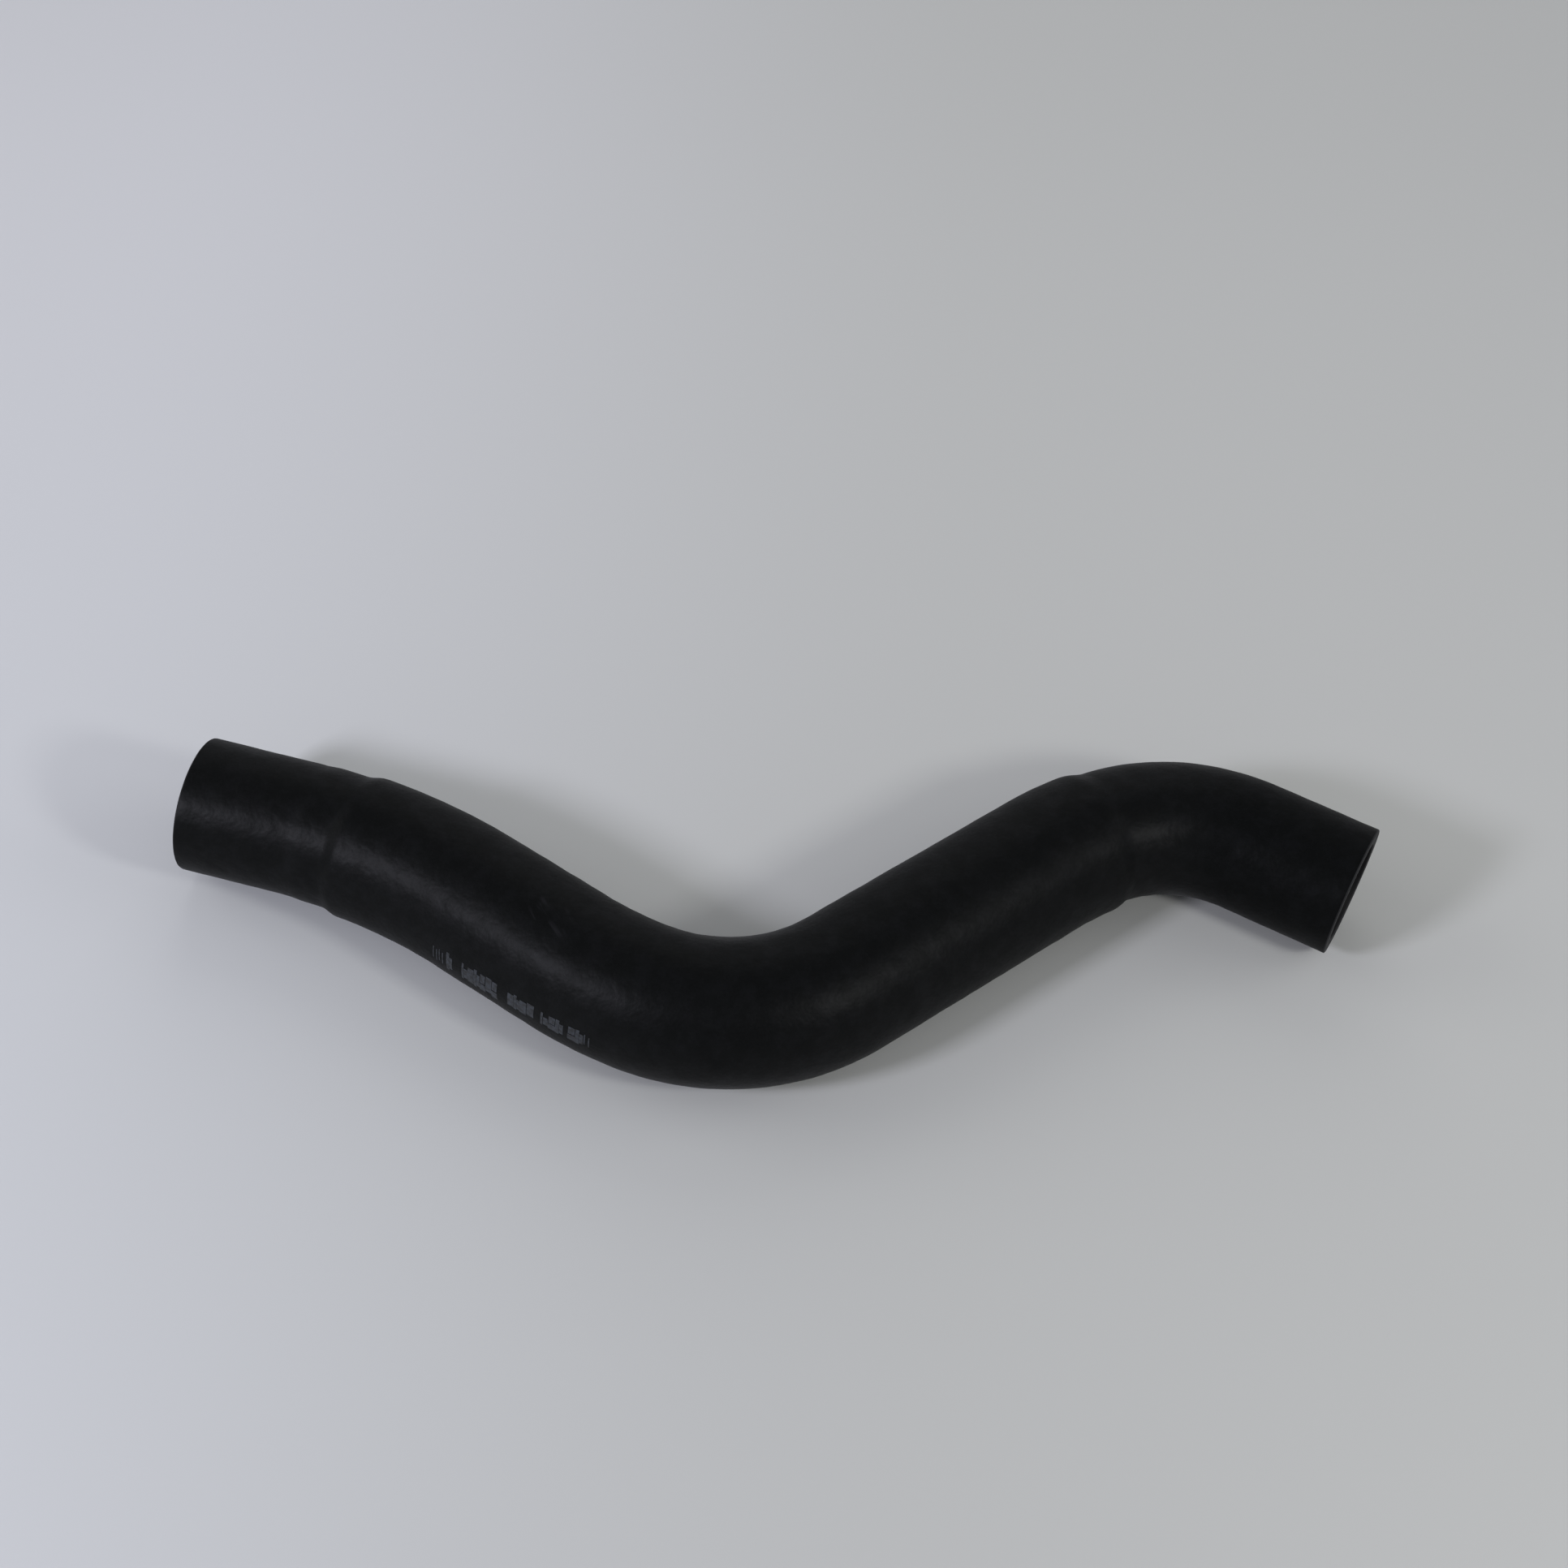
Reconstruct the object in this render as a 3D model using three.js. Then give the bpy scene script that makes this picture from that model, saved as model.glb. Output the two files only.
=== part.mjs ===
// Coolant reservoir hose: one formed rubber hose, open at both ends, lying flat on a surface.
// Millimetres, +Z up. The origin is on that surface, under the middle of the hose's outline.
import * as THREE from 'three';

// End stretches, which push over a spigot and take a clamp
const SPIGOT_BORE = 32;
const LEFT_END_WALL = 4.65;
const LEFT_END_LENGTH = 35;
const COLLAR_RISE = 0.35;
const COLLAR_LENGTH = 14.4;
const RIGHT_END_WALL = 4.8;
const RIGHT_END_LENGTH = 83.3;

// Thicker middle stretch
const BODY_BORE = 35;
const BODY_WALL = 4.7;

// Steps in the outside: lengths over which one diameter turns into the next
const COLLAR_SLOPE = 5;
const LEFT_SHOULDER_LENGTH = 2.2;
const RIGHT_SHOULDER_LENGTH = 3.6;
// Taper in the bore behind each end stretch, where the forming mandrel widens
const BORE_TAPER_LENGTH = 8;

// Route of the centreline, from the left end: straight runs, bend angles and bend radii
const LEFT_RUN = 31;
const LEFT_BEND_ANGLE = 20;
const LEFT_BEND_RADIUS = 180;
const LEFT_ARM_RUN = 34;
const ELBOW_EASE_ANGLE = 11.5;
const ELBOW_EASE_RADIUS = 126;
const ELBOW_ANGLE = 60;
const ELBOW_RADIUS = 60;
const RIGHT_ARM_RUN = 77;
const RIGHT_EASE_ANGLE = 12;
const RIGHT_EASE_RADIUS = 112;
const RIGHT_BEND_ANGLE = 53;
const RIGHT_BEND_RADIUS = 52;
const RIGHT_RUN = 34;

// Direction in which the hose sets off from its left end, turned from +X
const START_HEADING = -10.2;

// Fineness of the surface
const SIDES = 40;
const DEGREES_PER_STATION = 6.7;
const SOFT_STEP_FACES = 3;

const endRadius = SPIGOT_BORE / 2;
const leftRadius = endRadius + LEFT_END_WALL;
const collarRadius = leftRadius + COLLAR_RISE;
const rightRadius = endRadius + RIGHT_END_WALL;
const bodyBoreRadius = BODY_BORE / 2;
const bodyRadius = bodyBoreRadius + BODY_WALL;

const radians = THREE.MathUtils.degToRad;

// A straight run has no turn. A bend turns left where its angle is positive.
const straight = (length) => ({ length, turn: 0 });
const bend = (angle, radius) => ({ length: radians(Math.abs(angle)) * radius, turn: radians(angle) });

const stretches = [
  straight(LEFT_RUN),
  bend(-LEFT_BEND_ANGLE, LEFT_BEND_RADIUS),
  straight(LEFT_ARM_RUN),
  bend(ELBOW_EASE_ANGLE, ELBOW_EASE_RADIUS),
  bend(ELBOW_ANGLE, ELBOW_RADIUS),
  straight(RIGHT_ARM_RUN),
  bend(-RIGHT_EASE_ANGLE, RIGHT_EASE_RADIUS),
  bend(-RIGHT_BEND_ANGLE, RIGHT_BEND_RADIUS),
  straight(RIGHT_RUN),
];

// Place and heading on one stretch, a distance after its start
function placeOn(stretch, distance) {
  const turned = (stretch.turn * distance) / stretch.length;
  const chord = turned === 0 ? distance : (distance * Math.sin(turned / 2)) / (turned / 2);
  return {
    x: stretch.x + chord * Math.cos(stretch.heading + turned / 2),
    y: stretch.y + chord * Math.sin(stretch.heading + turned / 2),
    heading: stretch.heading + turned,
  };
}

// Chains the stretches end to end and returns the length of the whole centreline
function layRoute() {
  let start = 0;
  let place = { x: 0, y: 0, heading: radians(START_HEADING) };
  for (const stretch of stretches) {
    Object.assign(stretch, place, { start });
    place = placeOn(stretch, stretch.length);
    start += stretch.length;
  }
  return start;
}

const hoseLength = layRoute();

// Place and heading on the centreline, a distance after the left end
function placeAt(distance) {
  const stretch = stretches.findLast((each) => each.start <= distance) ?? stretches[0];
  return placeOn(stretch, distance - stretch.start);
}

// Distances at which the surface needs a ring of points: the ends of each run, and steps round each bend
function routeStations() {
  const stations = [];
  for (const { start, length, turn } of stretches) {
    const steps = Math.max(1, Math.ceil(Math.abs(turn) / radians(DEGREES_PER_STATION)));
    for (let step = 0; step < steps; step += 1) stations.push(start + (length * step) / steps);
  }
  return stations;
}

// A soft step between two radii, level at both ends
function softStep(start, length, fromRadius, toRadius) {
  const points = [];
  for (let step = 0; step <= SOFT_STEP_FACES; step += 1) {
    const along = step / SOFT_STEP_FACES;
    const eased = THREE.MathUtils.smoothstep(along, 0, 1);
    points.push(new THREE.Vector2(THREE.MathUtils.lerp(fromRadius, toRadius, eased), start + length * along));
  }
  return points;
}

const bodyStart = LEFT_END_LENGTH + COLLAR_LENGTH;
const bodyEnd = hoseLength - RIGHT_END_LENGTH;

// Wall of the straight blank, as radius against distance from the left end
const outside = [
  new THREE.Vector2(leftRadius, 0),
  ...softStep(LEFT_END_LENGTH, COLLAR_SLOPE, leftRadius, collarRadius),
  ...softStep(bodyStart, LEFT_SHOULDER_LENGTH, collarRadius, bodyRadius),
  ...softStep(bodyEnd - RIGHT_SHOULDER_LENGTH, RIGHT_SHOULDER_LENGTH, bodyRadius, rightRadius),
  new THREE.Vector2(rightRadius, hoseLength),
];
const bore = [
  new THREE.Vector2(endRadius, 0),
  new THREE.Vector2(endRadius, bodyStart),
  new THREE.Vector2(bodyBoreRadius, bodyStart + BORE_TAPER_LENGTH),
  new THREE.Vector2(bodyBoreRadius, bodyEnd - BORE_TAPER_LENGTH),
  new THREE.Vector2(endRadius, bodyEnd),
  new THREE.Vector2(endRadius, hoseLength),
];

// Adds points to a wall's outline where the route bends, so that the wall can follow it
function withStations(outline) {
  const points = [outline[0]];
  for (let index = 1; index < outline.length; index += 1) {
    const from = outline[index - 1];
    const to = outline[index];
    for (const station of routeStations()) {
      if (station <= from.y || station >= to.y) continue;
      const share = (station - from.y) / (to.y - from.y);
      points.push(from.clone().lerp(to, share));
    }
    points.push(to);
  }
  return points;
}

// The straight blank: the outside from left to right, then the bore back to the start
function blank() {
  const profile = [...withStations(outside), ...withStations(bore).reverse(), outside[0]];
  return new THREE.LatheGeometry(profile, SIDES);
}

// Lays the blank along the route: its length follows the centreline, its x axis points up
function formed(geometry) {
  const position = geometry.attributes.position;
  for (let index = 0; index < position.count; index += 1) {
    const { x, y, heading } = placeAt(position.getY(index));
    const up = position.getX(index);
    const left = position.getZ(index);
    position.setXYZ(index, x - left * Math.sin(heading), y + left * Math.cos(heading), up);
  }
  geometry.computeVertexNormals();
  geometry.computeBoundingBox();
  return geometry;
}

const moulding = new THREE.MeshStandardMaterial({ color: 0x1a1a1d, roughness: 0.62, metalness: 0 });

const hose = new THREE.Mesh(formed(blank()), moulding);
hose.name = 'hose';
const middle = hose.geometry.boundingBox.getCenter(new THREE.Vector3());
hose.position.set(-middle.x, -middle.y, bodyRadius);

const part = new THREE.Group();
part.add(hose);

export default part;
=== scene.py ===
# Coolant reservoir hose: a formed EPDM rubber hose with worn ink marks on its flank, lying on a pale bench.
import math

import bpy
from mathutils import Matrix, Vector, noise


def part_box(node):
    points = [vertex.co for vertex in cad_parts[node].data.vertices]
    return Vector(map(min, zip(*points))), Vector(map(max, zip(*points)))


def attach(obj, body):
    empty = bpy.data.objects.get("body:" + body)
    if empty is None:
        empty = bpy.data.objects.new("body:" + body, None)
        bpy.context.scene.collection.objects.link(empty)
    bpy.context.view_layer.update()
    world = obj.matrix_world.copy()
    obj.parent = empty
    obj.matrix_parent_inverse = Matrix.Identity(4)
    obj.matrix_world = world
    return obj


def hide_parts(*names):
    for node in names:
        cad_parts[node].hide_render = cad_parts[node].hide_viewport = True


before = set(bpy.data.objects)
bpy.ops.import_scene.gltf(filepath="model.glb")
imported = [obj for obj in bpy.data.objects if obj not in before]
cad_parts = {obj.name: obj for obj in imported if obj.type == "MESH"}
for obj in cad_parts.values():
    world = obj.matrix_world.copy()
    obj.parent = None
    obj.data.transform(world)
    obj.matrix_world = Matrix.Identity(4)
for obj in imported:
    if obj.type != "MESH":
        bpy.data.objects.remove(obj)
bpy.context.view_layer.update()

bl_info = {
    "name": "Coolant reservoir hose",
    "version": (1, 0, 0),
    "blender": (4, 5, 0),
    "location": "View3D > Sidebar > Hose",
    "description": "Builds a formed rubber coolant hose, its printed marks and a studio stage",
    "category": "Object",
}

MM = 0.001

# The imported solid that the finer hose stands for, and the body that carries it
HOSE_NODE = "hose"
BODY = "root"

# Fineness of the hose's surface
SIDES = 128
STATION_SPACING = 1.3 * MM
BORE_SPACING = 4 * MM
ROUNDING_STEPS = 6

# Parts of the hose's wall, in the order of its material slots
OUTSIDE, CUT_FACE, BORE = range(3)


def linear(hex_value):
    """An sRGB hex colour as linear red, green and blue."""
    channels = [int(hex_value[start : start + 2], 16) / 255 for start in (1, 3, 5)]
    return tuple(c / 12.92 if c <= 0.04045 else ((c + 0.055) / 1.055) ** 2.4 for c in channels)


def millimetres(name, description, value):
    """A length that the user may change."""
    return bpy.props.FloatProperty(
        name=name, description=description, default=value * MM, subtype="DISTANCE"
    )


def degrees(name, description, value):
    """An angle that the user may change."""
    return bpy.props.FloatProperty(
        name=name, description=description, default=math.radians(value), subtype="ANGLE"
    )


def colour(name, description, hex_value):
    """A colour that the user may change."""
    return bpy.props.FloatVectorProperty(
        name=name, description=description, default=linear(hex_value), subtype="COLOR", min=0, max=1
    )


def share(name, description, value):
    """A number from 0 to 1 that the user may change."""
    return bpy.props.FloatProperty(
        name=name, description=description, default=value, min=0, max=1, subtype="FACTOR"
    )


class HoseSizes(bpy.types.PropertyGroup):
    """Section of the hose, as its maker would state it."""

    spigot_bore: millimetres("Spigot bore", "Bore of both end stretches", 32)
    left_end_wall: millimetres("Left end wall", "Wall of the cuff at the left end", 4.65)
    left_end_length: millimetres("Left end length", "Cuff, from its cut face to the collar", 35)
    collar_rise: millimetres("Collar rise", "Height of the collar above the cuff", 0.35)
    collar_slope: millimetres("Collar slope", "Length of the step onto the collar", 5)
    collar_length: millimetres("Collar length", "Collar, up to the body's shoulder", 14.4)
    right_end_wall: millimetres("Right end wall", "Wall of the right end stretch", 4.8)
    right_end_length: millimetres("Right end length", "Stretch from the body to the right cut face", 83.3)
    body_bore: millimetres("Body bore", "Bore of the middle stretch", 35)
    body_wall: millimetres("Body wall", "Wall of the middle stretch", 4.7)
    left_shoulder: millimetres("Left shoulder", "Length of the rise onto the body", 2.2)
    right_shoulder: millimetres("Right shoulder", "Length of the fall off the body", 3.6)
    bore_taper: millimetres("Bore taper", "Length over which the bore widens", 8)
    lip_radius: millimetres("Lip radius", "Rounding of the cut ends' edges", 0.4)
    easing: millimetres("Easing", "How far each shoulder eases out beyond its drawn ends", 1.8)
    waviness: millimetres("Waviness", "Unevenness that curing leaves in the outside", 0.06)
    wave_length: millimetres("Wave length", "Distance from one swell of the surface to the next", 9)
    dimple_depth: millimetres("Dimple depth", "Depth of the dimples that the steam leaves", 0.08)
    dimple_width: millimetres("Dimple width", "Distance from one dimple to the next", 4)


class RubberLooks(bpy.types.PropertyGroup):
    """Colours and texture of the rubber."""

    moulded: colour("Moulded colour", "Cured outside of the hose", "#040505")
    bloom: colour("Bloom colour", "Pale haze where wax has come to the surface", "#070809")
    scuffed: colour("Scuffed colour", "Faint scuffs where the skin has been rubbed", "#141416")
    cut: colour("Cut colour", "Knife-cut end faces", "#121214")
    inside: colour("Bore colour", "Wall of the bore", "#09090a")
    # The bloom's coat by height is painted light: painted shade on the top, painted reflection low on the
    # flanks
    top_wax_and_painted_shade: share("Wax on top", "Waxy bloom along the top, where handling has rubbed it thin", 0.075)
    flank_wax_and_painted_reflection: share("Wax on the flanks", "Waxy bloom low on the flanks", 0.17)
    # Painted shade: a thinner coat dims the gloss at the right end
    shaded: share("Wax on the wiped end", "Share of the bloom that is left at the right end", 0.5)
    roughness: share("Roughness", "Dullness of the waxy bloom", 0.43)
    dust: share("Dust", "Fine dust that shows as a soft glow towards the rims", 0.043)
    mottle: millimetres("Mottle", "Size of the soft patches in the sheen", 6)
    pits: millimetres("Pits", "Width of the finest pits that the steam leaves", 2)
    grain: millimetres("Grain", "Size of the fine grain in the surface", 0.7)


class MarkLooks(bpy.types.PropertyGroup):
    """Printed marks along the flank: plain upright bars in groups, with nothing to read."""

    start: millimetres("Start", "Distance of the first mark from the left end", 95)
    pitch: millimetres("Pitch", "Distance from one mark to the next", 2.2)
    film: millimetres("Film", "Thickness of the ink", 0.07)
    upper_edge: degrees("Upper edge", "Top of the marks, from the hose's left side over its top", 167.5)
    ink: colour("Ink colour", "Marking ink where it is whole", "#2b2f35")
    worn: colour("Worn ink colour", "Marking ink where the rubber shows through", "#141517")


class StageLooks(bpy.types.PropertyGroup):
    """Bench, surroundings and camera."""

    # The four bench colours paint the light's falloff: paler and cooler to the left, paler to the back
    near_left: colour("Bench, near left", "Bench top at the front, on the cooler side", "#bcbebf")
    near_right: colour("Bench, near right", "Bench top at the front, on the warmer side", "#afb0ad")
    far_left: colour("Bench, far left", "Bench top at the back, on the cooler side", "#cccdcf")
    far_right: colour("Bench, far right", "Bench top at the back, on the warmer side", "#bebfbc")
    room: colour("Room colour", "Tint of the light from the room", "#f4f6ff")
    room_light: share("Room light", "Strength of the light from the room", 0.34)
    focal_length: bpy.props.FloatProperty(
        name="Focal length",
        description="Of the lens, on a 36 mm frame",
        default=60,
        min=1,
        subtype="DISTANCE_CAMERA",
    )
    elevation: degrees("Elevation", "Angle of the camera's sight line above the bench", 50.92)
    roll: degrees("Roll", "Tilt of the camera round its sight line", 5.66)
    distance: millimetres("Distance", "From the camera to the bench, along its sight line", 847.5)


def straight(length):
    """A run of the centreline without a turn, in millimetres."""
    return {"length": length * MM, "turn": 0.0}


def bend(angle, radius):
    """An arc of the centreline, in degrees and millimetres, to the left where its angle is positive."""
    return {"length": radius * MM * math.radians(abs(angle)), "turn": math.radians(angle)}


# The centreline from the left end
START_HEADING = math.radians(-10.2)
ROUTE = [
    straight(31),
    bend(-20, 180),
    straight(34),
    bend(11.5, 126),
    bend(60, 60),
    straight(77),
    bend(-12, 112),
    bend(-53, 52),
    straight(34),
]
HOSE_LENGTH = sum(stretch["length"] for stretch in ROUTE)


def place_on(start, heading, stretch, distance):
    """Point and heading on one stretch, a distance after its start."""
    turned = stretch["turn"] * distance / stretch["length"]
    half = turned / 2
    chord = distance * (math.sin(half) / half if half else 1.0)
    onwards = Vector((math.cos(heading + half), math.sin(heading + half), 0))
    return start + onwards * chord, heading + turned


class Centreline:
    """The route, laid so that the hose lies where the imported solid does."""

    def __init__(self, sizes):
        self.stretches = []
        start, heading, reached = Vector((0, 0, 0)), START_HEADING, 0.0
        for stretch in ROUTE:
            self.stretches.append((reached, start, heading, stretch))
            start, heading = place_on(start, heading, stretch, stretch["length"])
            reached += stretch["length"]
        self.offset = Vector((0, 0, 0))
        packed_low, packed_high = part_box(HOSE_NODE)
        low, high = self.outline_box(sizes)
        middle = (packed_low + packed_high - low - high) / 2
        self.offset = Vector((middle.x, middle.y, body_radius(sizes)))

    def at(self, distance):
        """Point and heading a distance after the left end."""
        passed = [row for row in self.stretches if row[0] <= max(distance, 0)]
        reached, start, heading, stretch = passed[-1]
        point, heading = place_on(start, heading, stretch, distance - reached)
        return point + self.offset, heading

    def surface(self, distance, radius, angle):
        """Point on a wall. The angle starts at the left side and passes over the top."""
        point, heading = self.at(distance)
        left = Vector((-math.sin(heading), math.cos(heading), 0))
        return point + (left * math.cos(angle) + Vector((0, 0, math.sin(angle)))) * radius

    def outline_box(self, sizes):
        """Lowest and highest corner of the hose's outline seen from above."""
        outline = outside_outline(sizes)
        whole = [(0, outline[0][1]), *outline, (HOSE_LENGTH, outline[-1][1])]
        points = []
        for distance, radius in refined(whole, STATION_SPACING):
            points += [self.surface(distance, radius, angle) for angle in (0, math.pi)]
        return Vector([min(axis) for axis in zip(*points)]), Vector([max(axis) for axis in zip(*points)])


def body_radius(sizes):
    """Outer radius of the thick middle stretch."""
    return sizes.body_bore / 2 + sizes.body_wall


def eased_step(start, end, from_radius, to_radius):
    """A soft step between two radii, level at both ends."""
    points = []
    for step in range(ROUNDING_STEPS + 1):
        along = step / ROUNDING_STEPS
        eased = along * along * (3 - 2 * along)
        points.append((start + (end - start) * along, from_radius + (to_radius - from_radius) * eased))
    return points


def outside_outline(sizes):
    """The outside of the straight blank, as (distance from the left end, radius)."""
    left_radius = sizes.spigot_bore / 2 + sizes.left_end_wall
    collar_radius = left_radius + sizes.collar_rise
    right_radius = sizes.spigot_bore / 2 + sizes.right_end_wall
    collar_start = sizes.left_end_length
    rise_start = collar_start + sizes.collar_length - sizes.easing
    rise_end = rise_start + sizes.left_shoulder + 2 * sizes.easing
    fall_end = HOSE_LENGTH - sizes.right_end_length + sizes.easing
    fall_start = fall_end - sizes.right_shoulder - 2 * sizes.easing
    return [
        (sizes.lip_radius, left_radius),
        *eased_step(collar_start, collar_start + sizes.collar_slope, left_radius, collar_radius),
        *eased_step(rise_start, rise_end, collar_radius, body_radius(sizes)),
        *eased_step(fall_start, fall_end, body_radius(sizes), right_radius),
        (HOSE_LENGTH - sizes.lip_radius, right_radius),
    ]


def bore_outline(sizes):
    """The bore of the straight blank, from left to right."""
    end_radius = sizes.spigot_bore / 2
    middle_radius = sizes.body_bore / 2
    body_start = sizes.left_end_length + sizes.collar_length
    body_end = HOSE_LENGTH - sizes.right_end_length
    return [
        (sizes.lip_radius, end_radius),
        *eased_step(body_start, body_start + sizes.bore_taper, end_radius, middle_radius),
        *eased_step(body_end - sizes.bore_taper, body_end, middle_radius, end_radius),
        (HOSE_LENGTH - sizes.lip_radius, end_radius),
    ]


def refined(outline, spacing):
    """The outline with points added so that none lie further apart than spacing."""
    points = [outline[0]]
    for (start, start_radius), (end, end_radius) in zip(outline, outline[1:]):
        steps = max(1, math.ceil(abs(end - start) / spacing))
        for step in range(1, steps + 1):
            along = step / steps
            radius = start_radius + (end_radius - start_radius) * along
            points.append((start + (end - start) * along, radius))
    return points


def lip(face_at, inwards, radius, lip_radius):
    """Rounded edge from a wall to a cut face. A negative lip radius turns towards a larger radius."""
    points = []
    for step in range(1, ROUNDING_STEPS + 1):
        angle = math.pi / 2 * step / ROUNDING_STEPS
        distance = face_at + inwards * abs(lip_radius) * (1 - math.sin(angle))
        points.append((distance, radius - lip_radius * (1 - math.cos(angle))))
    return points


def wall_profile(sizes):
    """The whole wall as a closed loop of (distance, radius, part of the wall)."""
    outside = refined(outside_outline(sizes), STATION_SPACING)
    bore = refined(bore_outline(sizes), BORE_SPACING)
    rounding = sizes.lip_radius
    right_face = lip(HOSE_LENGTH, -1, outside[-1][1], rounding)
    right_face += reversed(lip(HOSE_LENGTH, -1, bore[-1][1], -rounding))
    left_face = lip(0, 1, bore[0][1], -rounding)
    left_face += reversed(lip(0, 1, outside[0][1], rounding))
    loop = [(*point, OUTSIDE) for point in outside]
    loop += [(*point, CUT_FACE) for point in right_face]
    loop += [(*point, BORE) for point in reversed(bore)]
    loop += [(*point, CUT_FACE) for point in left_face]
    return loop


def swell(sizes, distance, angle):
    """How far curing has left the outside above its drawn radius, at one place."""
    around = body_radius(sizes)
    place = Vector((distance, around * math.cos(angle), around * math.sin(angle)))
    wave = sizes.waviness * noise.noise(place / sizes.wave_length)
    return wave + sizes.dimple_depth * noise.noise(place / sizes.dimple_width)


def new_piece(name, vertices, faces, materials):
    """A mesh object that lies where its vertices say."""
    mesh = bpy.data.meshes.new(name)
    mesh.from_pydata(vertices, [], faces)
    for material in materials:
        mesh.materials.append(material)
    piece = bpy.data.objects.new(name, mesh)
    bpy.context.scene.collection.objects.link(piece)
    return piece


def moulded_hose(sizes, looks):
    """The hose: its straight blank's wall, bent along the centreline."""
    line = Centreline(sizes)
    loop = wall_profile(sizes)
    middle_of_wall = (sizes.spigot_bore + sizes.left_end_wall) / 2
    vertices = []
    for distance, radius, _ in loop:
        for side in range(SIDES):
            angle = 2 * math.pi * side / SIDES
            uneven = swell(sizes, distance, angle) if radius > middle_of_wall else 0.0
            vertices.append(line.surface(distance, radius + uneven, angle))
    faces, parts, unwrapped = [], [], []
    for ring, (distance, radius, part) in enumerate(loop):
        following = (ring + 1) % len(loop)
        next_distance, next_radius, next_part = loop[following]
        for side in range(SIDES):
            beside = (side + 1) % SIDES
            faces.append(
                (
                    ring * SIDES + side,
                    ring * SIDES + beside,
                    following * SIDES + beside,
                    following * SIDES + side,
                )
            )
            parts.append(CUT_FACE if CUT_FACE in (part, next_part) else part)
            low, high = 2 * math.pi * side / SIDES, 2 * math.pi * (side + 1) / SIDES
            unwrapped += [
                (distance, low * radius),
                (distance, high * radius),
                (next_distance, high * next_radius),
                (next_distance, low * next_radius),
            ]
    materials = [moulded_epdm(looks), knife_cut_epdm(looks), bore_epdm(looks)]
    piece = new_piece("moulded_hose", vertices, faces, materials)
    mesh = piece.data
    mesh.polygons.foreach_set("material_index", parts)
    mesh.polygons.foreach_set("use_smooth", [True] * len(faces))
    layer = mesh.uv_layers.new(name="along_and_round")
    layer.data.foreach_set("uv", [value for pair in unwrapped for value in pair])
    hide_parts(HOSE_NODE)
    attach(piece, BODY)
    return piece


# Plain shapes of a mark, as (left, right, bottom, top) shares of its pitch and height
THIN = [(0.1, 0.25, 0.2, 0.9), (0.65, 0.8, 0.1, 0.8)]
SOLID = [(0, 0.96, 0.06, 0.9)]
SPLIT = [(0, 0.48, 0, 1), (0.52, 1, 0.12, 0.8)]
STACKED = [(0, 1, 0.04, 0.44), (0.08, 0.92, 0.5, 0.96)]
SHORT = [(0.04, 1, 0.2, 1)]
STEPPED = [(0, 0.3, 0.05, 0.95), (0.36, 1, 0.15, 0.7)]
# Groups of printed marks: distance from the first mark and height in millimetres, and the shapes in a row
MARK_GROUPS = [
    (0, 7.4, [THIN, THIN]),
    (5.2, 8, [SPLIT]),
    (11, 8, [STEPPED, SOLID, SPLIT, STACKED, SHORT, STACKED]),
    (28, 6.6, [SOLID, SPLIT, SOLID, SHORT]),
    (38.9, 6.2, [STEPPED, STACKED, SPLIT]),
    (46.8, 6.2, [STACKED, SPLIT, THIN]),
]

# Faces down one bar, so that it follows the hose's curve
MARK_ROWS = 6
# Points across each row of a bar: below and on top of the ink at its left edge, then at its right edge
ROW_POINTS = 4


def ink_bar(line, sizes, film, distances, angles):
    """One bar of ink on the body: the vertices and faces of a closed film."""
    outer = body_radius(sizes)
    vertices, faces = [], []
    for angle in angles:
        for distance in distances:
            level = outer + swell(sizes, distance, angle)
            vertices.append(line.surface(distance, level - film, angle))
            vertices.append(line.surface(distance, level + film, angle))
    last = len(vertices) - ROW_POINTS
    for first in range(0, last, ROW_POINTS):
        low_left, top_left, low_right, top_right = range(first, first + ROW_POINTS)
        faces += [
            (top_left, top_right, top_right + ROW_POINTS, top_left + ROW_POINTS),
            (low_right, low_left, low_left + ROW_POINTS, low_right + ROW_POINTS),
            (low_left, top_left, top_left + ROW_POINTS, low_left + ROW_POINTS),
            (top_right, low_right, low_right + ROW_POINTS, top_right + ROW_POINTS),
        ]
    faces += [(0, 2, 3, 1), (last, last + 1, last + 3, last + 2)]
    return vertices, faces


def flank_marks(sizes, looks):
    """Thin films of ink on the flank, each a plain bar or block."""
    line = Centreline(sizes)
    vertices, faces = [], []
    for group_start, height, shapes in MARK_GROUPS:
        arc = height * MM / body_radius(sizes)
        for index, shape in enumerate(shapes):
            cell = looks.start + group_start * MM + index * looks.pitch
            for left, right, bottom, top in shape:
                distances = [cell + across * looks.pitch for across in (left, right)]
                levels = [bottom + (top - bottom) * row / MARK_ROWS for row in range(MARK_ROWS + 1)]
                angles = [looks.upper_edge + (1 - level) * arc for level in levels]
                bar_vertices, bar_faces = ink_bar(line, sizes, looks.film, distances, angles)
                faces += [[corner + len(vertices) for corner in face] for face in bar_faces]
                vertices += bar_vertices
    piece = new_piece("flank_marks", vertices, faces, [marking_ink(looks)])
    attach(piece, BODY)
    return piece


# Places of a colour mix's sockets, which share their names with those of its other kinds
MIX_FIRST, MIX_SECOND, MIX_RESULT = 6, 7, 2


def add(tree, kind, settings=None, links=None):
    """Adds a node, with the values of its properties and inputs, and the outputs that feed its inputs."""
    node = tree.nodes.new(kind)
    for name, value in (settings or {}).items():
        if isinstance(name, str) and hasattr(node, name):
            setattr(node, name, value)
        else:
            node.inputs[name].default_value = value
    for name, source in (links or {}).items():
        tree.links.new(source, node.inputs[name])
    return node


def new_material(name):
    """An empty material and its node tree."""
    material = bpy.data.materials.new(name)
    material.use_nodes = True
    material.node_tree.nodes.clear()
    return material, material.node_tree


def opaque(value):
    """A colour as a socket takes it."""
    return (*value, 1)


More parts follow.
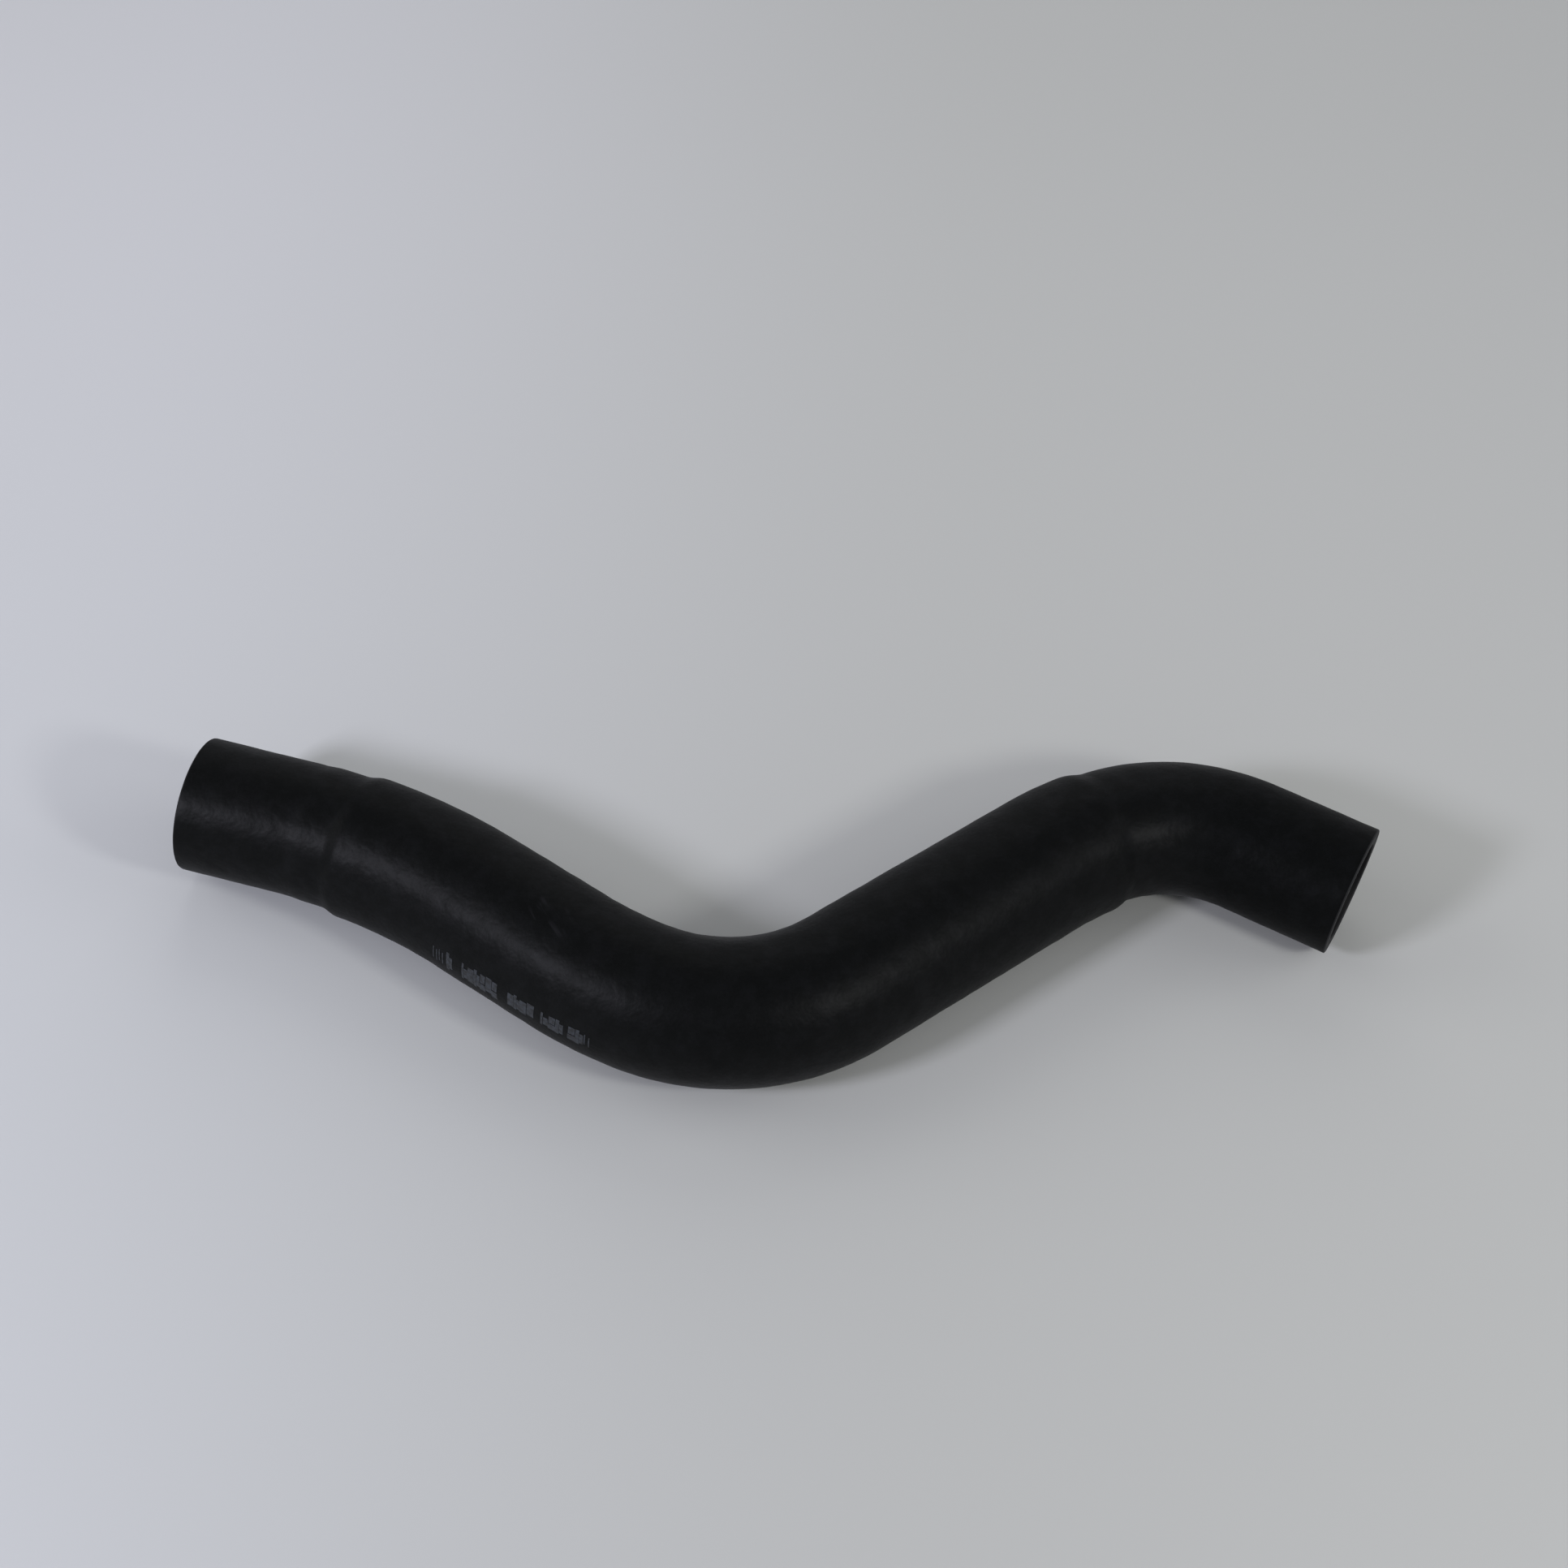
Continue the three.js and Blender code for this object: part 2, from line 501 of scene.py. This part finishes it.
# Refractive indices of the rubber, its waxy bloom, the ink and the laminate
RUBBER_IOR = 1.5
WAX_IOR = 1.5
INK_IOR = 1.5
LAMINATE_IOR = 1.45

# Values between which most of a noise texture lies
NOISE_LOW, NOISE_HIGH = 0.3, 0.7

# Heights above the bench between which the bloom's coat thins from the flanks to the top: painted
# reflection low on the flanks, painted shade on the top
FLANK_HEIGHT = 32 * MM
TOP_HEIGHT = 44.4 * MM
# Distances from the left end between which the coat thins further towards the right end, as painted shade
# that dims its gloss
SHADED_END_FROM = 338 * MM
SHADED_END_TO = 362 * MM
# How thin and thick the bloom lies from patch to patch, as shares of its mean
THIN_BLOOM, THICK_BLOOM = 0.8, 1.2
# Values of the patches between which the bloom turns the skin hazy
HAZE_STARTS, HAZE_FULL = 0.42, 0.68

# Relief of the cured skin: the finest pits, and the grain that sits on them
PIT_DEPTH = 0.1 * MM
GRAIN_DEPTH = 0.02 * MM
# Roughness of the rubber under the bloom, in the hollows of its grain and on top of it
HOLLOW_ROUGHNESS, GRAIN_ROUGHNESS = 0.9, 0.7

# The scuffed patch on the body: its middle, along and round the hose, and its reach
SCUFF_MIDDLE = (124 * MM, 38.2 * MM, 0)
SCUFF_REACH = 9 * MM
# One scuff: its length, width and slant, and the noise values between which it fades in
SCUFF_LENGTH = 12 * MM
SCUFF_WIDTH = 2 * MM
SCUFF_SLANT = math.radians(24)
SCUFF_STARTS, SCUFF_FULL = 0.55, 0.68

# The knife's drag lines: their spacing and depth
DRAG_SPACING = 0.5 * MM
DRAG_DEPTH = 0.03 * MM

# Marks of the mandrel in the bore: their size, and the roughness on and between them
MANDREL_MARKS = 3 * MM
MANDREL_SMOOTH, MANDREL_ROUGH = 0.55, 0.75

# Worn spots in the ink: their size, and the noise values between which the ink covers the rubber
INK_WEAR = 1.2 * MM
COVER_STARTS, COVER_FULL = 0.35, 0.6


def scuffs(tree):
    """Faint slanting scuffs in one patch, as an output from 0 to 1."""
    unwrapped = add(tree, "ShaderNodeUVMap", {"uv_map": "along_and_round"})
    across = add(
        tree,
        "ShaderNodeMapping",
        {
            "vector_type": "TEXTURE",
            "Rotation": (0, 0, SCUFF_SLANT),
            "Scale": (SCUFF_LENGTH, SCUFF_WIDTH, 1),
        },
        {"Vector": unwrapped.outputs["UV"]},
    )
    streaks = add(
        tree,
        "ShaderNodeTexNoise",
        {"Scale": 1.0, "Detail": 2.0},
        {"Vector": across.outputs["Vector"]},
    )
    lines = add(
        tree,
        "ShaderNodeMapRange",
        {"From Min": SCUFF_STARTS, "From Max": SCUFF_FULL},
        {"Value": streaks.outputs["Fac"]},
    )
    away = add(
        tree,
        "ShaderNodeVectorMath",
        {"operation": "DISTANCE", 1: SCUFF_MIDDLE},
        {0: unwrapped.outputs["UV"]},
    )
    patch = add(
        tree,
        "ShaderNodeMapRange",
        {"From Min": SCUFF_REACH, "From Max": SCUFF_REACH / 2, "interpolation_type": "SMOOTHSTEP"},
        {"Value": away.outputs["Value"]},
    )
    both = add(
        tree,
        "ShaderNodeMath",
        {"operation": "MULTIPLY"},
        {0: lines.outputs["Result"], 1: patch.outputs["Result"]},
    )
    return both.outputs["Value"]


def moulded_epdm(looks):
    """EPDM rubber cured in steam on a mandrel: matt black, with a waxy bloom that shines in patches; its
    coat is thinned on the top and at the right end as painted shade, and thickened low on the flanks as
    painted reflection.
    """
    material, tree = new_material("moulded_epdm_rubber")
    place = add(tree, "ShaderNodeTexCoord")
    patches = add(
        tree,
        "ShaderNodeTexNoise",
        {"Scale": 1 / looks.mottle, "Detail": 5.0, "Roughness": 0.7},
        {"Vector": place.outputs["Object"]},
    )
    pits = add(
        tree,
        "ShaderNodeTexNoise",
        {"Scale": 1 / looks.pits, "Detail": 1.0},
        {"Vector": place.outputs["Object"]},
    )
    grain = add(
        tree,
        "ShaderNodeTexNoise",
        {"Scale": 1 / looks.grain, "Detail": 2.0, "Roughness": 0.6},
        {"Vector": place.outputs["Object"]},
    )
    haze = add(
        tree,
        "ShaderNodeMapRange",
        {"From Min": HAZE_STARTS, "From Max": HAZE_FULL, "interpolation_type": "SMOOTHSTEP"},
        {"Value": patches.outputs["Fac"]},
    )
    hazed = add(
        tree,
        "ShaderNodeMix",
        {"data_type": "RGBA", MIX_FIRST: opaque(looks.moulded), MIX_SECOND: opaque(looks.bloom)},
        {"Factor": haze.outputs["Result"]},
    )
    skin = add(
        tree,
        "ShaderNodeMix",
        {"data_type": "RGBA", MIX_SECOND: opaque(looks.scuffed)},
        {"Factor": scuffs(tree), MIX_FIRST: hazed.outputs[MIX_RESULT]},
    )
    # Painted shade on the top and painted reflection low on the flanks, through the coat's weight by height
    height = add(tree, "ShaderNodeSeparateXYZ", {}, {"Vector": place.outputs["Object"]})
    rubbed = add(
        tree,
        "ShaderNodeMapRange",
        {
            "From Min": FLANK_HEIGHT,
            "From Max": TOP_HEIGHT,
            "To Min": looks.flank_wax_and_painted_reflection,
            "To Max": looks.top_wax_and_painted_shade,
        },
        {"Value": height.outputs["Z"]},
    )
    patchy = add(
        tree,
        "ShaderNodeMapRange",
        {
            "From Min": NOISE_LOW,
            "From Max": NOISE_HIGH,
            "To Min": THIN_BLOOM,
            "To Max": THICK_BLOOM,
        },
        {"Value": patches.outputs["Fac"]},
    )
    unwrapped = add(tree, "ShaderNodeUVMap", {"uv_map": "along_and_round"})
    along = add(tree, "ShaderNodeSeparateXYZ", {}, {"Vector": unwrapped.outputs["UV"]})
    # Painted shade: the coat thins towards the right end, dimming its gloss
    shaded = add(
        tree,
        "ShaderNodeMapRange",
        {
            "From Min": SHADED_END_FROM,
            "From Max": SHADED_END_TO,
            "To Min": 1.0,
            "To Max": looks.shaded,
            "interpolation_type": "SMOOTHSTEP",
        },
        {"Value": along.outputs["X"]},
    )
    spread = add(
        tree,
        "ShaderNodeMath",
        {"operation": "MULTIPLY"},
        {0: rubbed.outputs["Result"], 1: patchy.outputs["Result"]},
    )
    # Coat weight: the bloom's random patches, times painted shade and painted reflection
    wax_and_painted_light = add(
        tree,
        "ShaderNodeMath",
        {"operation": "MULTIPLY"},
        {0: spread.outputs["Value"], 1: shaded.outputs["Result"]},
    )
    dull = add(
        tree,
        "ShaderNodeMapRange",
        {
            "From Min": NOISE_LOW,
            "From Max": NOISE_HIGH,
            "To Min": HOLLOW_ROUGHNESS,
            "To Max": GRAIN_ROUGHNESS,
        },
        {"Value": grain.outputs["Fac"]},
    )
    soft = add(
        tree,
        "ShaderNodeBump",
        {"Strength": 1.0, "Distance": PIT_DEPTH},
        {"Height": pits.outputs["Fac"]},
    )
    fine = add(
        tree,
        "ShaderNodeBump",
        {"Strength": 1.0, "Distance": GRAIN_DEPTH},
        {"Height": grain.outputs["Fac"], "Normal": soft.outputs["Normal"]},
    )
    shader = add(
        tree,
        "ShaderNodeBsdfPrincipled",
        {
            "IOR": RUBBER_IOR,
            "Specular IOR Level": 0.04,
            "Coat Roughness": looks.roughness,
            "Coat IOR": WAX_IOR,
            "Sheen Weight": looks.dust,
            "Sheen Roughness": 0.4,
        },
        {
            "Base Color": skin.outputs[MIX_RESULT],
            "Roughness": dull.outputs["Result"],
            "Normal": fine.outputs["Normal"],
            "Coat Weight": wax_and_painted_light.outputs["Value"],
            "Coat Normal": fine.outputs["Normal"],
        },
    )
    add(tree, "ShaderNodeOutputMaterial", {}, {"Surface": shader.outputs["BSDF"]})
    return material


def knife_cut_epdm(looks):
    """EPDM rubber trimmed with a knife: duller and a little greyer than the skin, with faint drag lines."""
    material, tree = new_material("knife_cut_epdm_rubber")
    place = add(tree, "ShaderNodeTexCoord")
    drag = add(
        tree,
        "ShaderNodeTexNoise",
        {"Scale": 1 / DRAG_SPACING, "Detail": 2.0},
        {"Vector": place.outputs["Object"]},
    )
    relief = add(
        tree,
        "ShaderNodeBump",
        {"Strength": 1.0, "Distance": DRAG_DEPTH},
        {"Height": drag.outputs["Fac"]},
    )
    shader = add(
        tree,
        "ShaderNodeBsdfPrincipled",
        {
            "Base Color": opaque(looks.cut),
            "Roughness": 0.7,
            "IOR": RUBBER_IOR,
            "Specular IOR Level": 0.3,
        },
        {"Normal": relief.outputs["Normal"]},
    )
    add(tree, "ShaderNodeOutputMaterial", {}, {"Surface": shader.outputs["BSDF"]})
    return material


def bore_epdm(looks):
    """EPDM rubber where it lay against the mandrel: dull and nearly black."""
    material, tree = new_material("mandrel_side_epdm_rubber")
    place = add(tree, "ShaderNodeTexCoord")
    marks = add(
        tree,
        "ShaderNodeTexNoise",
        {"Scale": 1 / MANDREL_MARKS, "Detail": 3.0},
        {"Vector": place.outputs["Object"]},
    )
    gloss = add(
        tree,
        "ShaderNodeMapRange",
        {"To Min": MANDREL_SMOOTH, "To Max": MANDREL_ROUGH},
        {"Value": marks.outputs["Fac"]},
    )
    shader = add(
        tree,
        "ShaderNodeBsdfPrincipled",
        {"Base Color": opaque(looks.inside), "IOR": RUBBER_IOR, "Specular IOR Level": 0.3},
        {"Roughness": gloss.outputs["Result"]},
    )
    add(tree, "ShaderNodeOutputMaterial", {}, {"Surface": shader.outputs["BSDF"]})
    return material


def marking_ink(looks):
    """Marking ink rolled onto rubber: a thin grey-blue film, worn through in spots."""
    material, tree = new_material("rolled_marking_ink")
    place = add(tree, "ShaderNodeTexCoord")
    wear = add(
        tree,
        "ShaderNodeTexNoise",
        {"Scale": 1 / INK_WEAR, "Detail": 2.0},
        {"Vector": place.outputs["Object"]},
    )
    cover = add(
        tree,
        "ShaderNodeMapRange",
        {"From Min": COVER_STARTS, "From Max": COVER_FULL},
        {"Value": wear.outputs["Fac"]},
    )
    film = add(
        tree,
        "ShaderNodeMix",
        {"data_type": "RGBA", MIX_FIRST: opaque(looks.worn), MIX_SECOND: opaque(looks.ink)},
        {"Factor": cover.outputs["Result"]},
    )
    shader = add(
        tree,
        "ShaderNodeBsdfPrincipled",
        {"Roughness": 0.6, "IOR": INK_IOR},
        {"Base Color": film.outputs[MIX_RESULT]},
    )
    add(tree, "ShaderNodeOutputMaterial", {}, {"Surface": shader.outputs["BSDF"]})
    return material


# Where the bench's painted light falloff starts and stops changing, from left to right and from near to far
BENCH_ACROSS = (-283 * MM, 76 * MM)
BENCH_AWAY = (-141 * MM, 390 * MM)
# Side of the square bench top
BENCH_SIDE = 8000 * MM


def bench_laminate(looks):
    """Pale matt laminate, pressed, with painted light falloff: paler and a touch cooler to the left, paler
    to the back.
    """
    material, tree = new_material("matt_bench_laminate")
    place = add(tree, "ShaderNodeTexCoord")
    axes = add(tree, "ShaderNodeSeparateXYZ", {}, {"Vector": place.outputs["Object"]})
    across, away = [
        add(
            tree,
            "ShaderNodeMapRange",
            {"From Min": start, "From Max": end, "interpolation_type": "SMOOTHSTEP"},
            {"Value": axes.outputs[axis]},
        )
        for axis, (start, end) in (("X", BENCH_ACROSS), ("Y", BENCH_AWAY))
    ]
    near, far = [
        add(
            tree,
            "ShaderNodeMix",
            {"data_type": "RGBA", MIX_FIRST: opaque(left), MIX_SECOND: opaque(right)},
            {"Factor": across.outputs["Result"]},
        )
        for left, right in ((looks.near_left, looks.near_right), (looks.far_left, looks.far_right))
    ]
    # Painted light falloff across the bench top
    tone = add(
        tree,
        "ShaderNodeMix",
        {"data_type": "RGBA"},
        {
            "Factor": away.outputs["Result"],
            MIX_FIRST: near.outputs[MIX_RESULT],
            MIX_SECOND: far.outputs[MIX_RESULT],
        },
    )
    shader = add(
        tree,
        "ShaderNodeBsdfPrincipled",
        {"Roughness": 0.8, "IOR": LAMINATE_IOR, "Specular IOR Level": 0.3},
        {"Base Color": tone.outputs[MIX_RESULT]},
    )
    add(tree, "ShaderNodeOutputMaterial", {}, {"Surface": shader.outputs["BSDF"]})
    return material


# Softboxes: name, place and side in millimetres, watts and colour
SOFTBOXES = [
    ("left_softbox", (-785, -599, 727), 200, 8.5, "#f0f0ff"),
    ("right_softbox", (523, -341, 526), 120, 1.9, "#ffffff"),
    ("left_panel", (-1500, 200, 900), 1000, 5.6, "#ffffff"),
    ("right_panel", (1500, 200, 900), 1000, 4.35, "#ffffff"),
    ("back_panel", (0, 1200, 900), 1000, 3.4, "#ffffff"),
]
# Point of the bench in the middle of the picture, in millimetres
SIGHT_POINT = (-2.57, 63.96, 0)
# Width of the camera's frame, in millimetres, and how far it sees, in metres
FRAME_WIDTH = 36
FARTHEST_VIEW = 100


def softbox(name, place, side, watts, hex_value):
    """A square softbox that faces the hose."""
    lamp = bpy.data.lights.new(name, "AREA")
    lamp.shape = "SQUARE"
    lamp.size = side * MM
    lamp.energy = watts
    lamp.color = linear(hex_value)
    holder = bpy.data.objects.new(name, lamp)
    holder.location = Vector(place) * MM
    holder.rotation_euler = (-holder.location).to_track_quat("-Z", "Y").to_euler()
    bpy.context.scene.collection.objects.link(holder)


def bench(looks):
    """The bench top that the hose lies on."""
    half = BENCH_SIDE / 2
    corners = [(-half, -half, 0), (half, -half, 0), (half, half, 0), (-half, half, 0)]
    mesh = bpy.data.meshes.new("bench")
    mesh.from_pydata(corners, [], [(0, 1, 2, 3)])
    mesh.materials.append(bench_laminate(looks))
    top = bpy.data.objects.new("bench", mesh)
    bpy.context.scene.collection.objects.link(top)


def room(looks):
    """Even light from the room around the bench."""
    world = bpy.data.worlds.new("room")
    world.use_nodes = True
    tree = world.node_tree
    tree.nodes.clear()
    glow = add(tree, "ShaderNodeBackground", {"Color": opaque(looks.room), "Strength": looks.room_light})
    add(tree, "ShaderNodeOutputWorld", {}, {"Surface": glow.outputs["Background"]})
    bpy.context.scene.world = world


def camera(looks):
    """The camera, tilted a little round its sight line."""
    data = bpy.data.cameras.new("camera")
    data.lens = looks.focal_length
    data.sensor_width = FRAME_WIDTH
    data.clip_end = FARTHEST_VIEW
    holder = bpy.data.objects.new("camera", data)
    back = Vector((0, -math.cos(looks.elevation), math.sin(looks.elevation)))
    level = Vector((1, 0, 0))
    upright = back.cross(level)
    right = level * math.cos(looks.roll) + upright * math.sin(looks.roll)
    up = upright * math.cos(looks.roll) - level * math.sin(looks.roll)
    turn = Matrix((right, up, back)).transposed().to_4x4()
    place = Vector(SIGHT_POINT) * MM + back * looks.distance
    holder.matrix_world = Matrix.Translation(place) @ turn
    bpy.context.scene.collection.objects.link(holder)
    bpy.context.scene.camera = holder


class HOSE_OT_build_hose(bpy.types.Operator):
    """Builds the moulded hose."""

    bl_idname = "hose.build_hose"
    bl_label = "Build the hose"

    def execute(self, context):
        scene = context.scene
        moulded_hose(scene.hose_sizes, scene.hose_rubber)
        return {"FINISHED"}


class HOSE_OT_build_marks(bpy.types.Operator):
    """Prints the marks on the hose's flank."""

    bl_idname = "hose.build_marks"
    bl_label = "Print the flank marks"

    def execute(self, context):
        scene = context.scene
        flank_marks(scene.hose_sizes, scene.hose_marks)
        return {"FINISHED"}


class HOSE_OT_build_stage(bpy.types.Operator):
    """Sets up the bench, the softboxes, the room light and the camera."""

    bl_idname = "hose.build_stage"
    bl_label = "Set the stage"

    def execute(self, context):
        looks = context.scene.hose_stage
        bench(looks)
        room(looks)
        for row in SOFTBOXES:
            softbox(*row)
        camera(looks)
        context.scene.view_settings.view_transform = "Standard"
        return {"FINISHED"}


# Property groups, with the name of each on the scene and its heading in the panel
GROUPS = [
    (HoseSizes, "hose_sizes", "Hose"),
    (RubberLooks, "hose_rubber", "Rubber"),
    (MarkLooks, "hose_marks", "Marks"),
    (StageLooks, "hose_stage", "Stage"),
]
OPERATORS = [HOSE_OT_build_hose, HOSE_OT_build_marks, HOSE_OT_build_stage]


class HOSE_PT_panel(bpy.types.Panel):
    """Sizes, colours and building steps of the hose."""

    bl_idname = "HOSE_PT_panel"
    bl_label = "Coolant reservoir hose"
    bl_space_type = "VIEW_3D"
    bl_region_type = "UI"
    bl_category = "Hose"

    def draw(self, context):
        for group, name, heading in GROUPS:
            box = self.layout.box()
            box.label(text=heading)
            for setting in group.__annotations__:
                box.prop(getattr(context.scene, name), setting)
        for operator in OPERATORS:
            self.layout.operator(operator.bl_idname)


def register():
    for group, name, _ in GROUPS:
        bpy.utils.register_class(group)
        setattr(bpy.types.Scene, name, bpy.props.PointerProperty(type=group))
    for each in [*OPERATORS, HOSE_PT_panel]:
        bpy.utils.register_class(each)


def unregister():
    for each in [HOSE_PT_panel, *reversed(OPERATORS)]:
        bpy.utils.unregister_class(each)
    for group, name, _ in reversed(GROUPS):
        delattr(bpy.types.Scene, name)
        bpy.utils.unregister_class(group)


def main():
    register()
    bpy.ops.hose.build_hose()
    bpy.ops.hose.build_marks()
    bpy.ops.hose.build_stage()


if __name__ == "__main__":
    main()
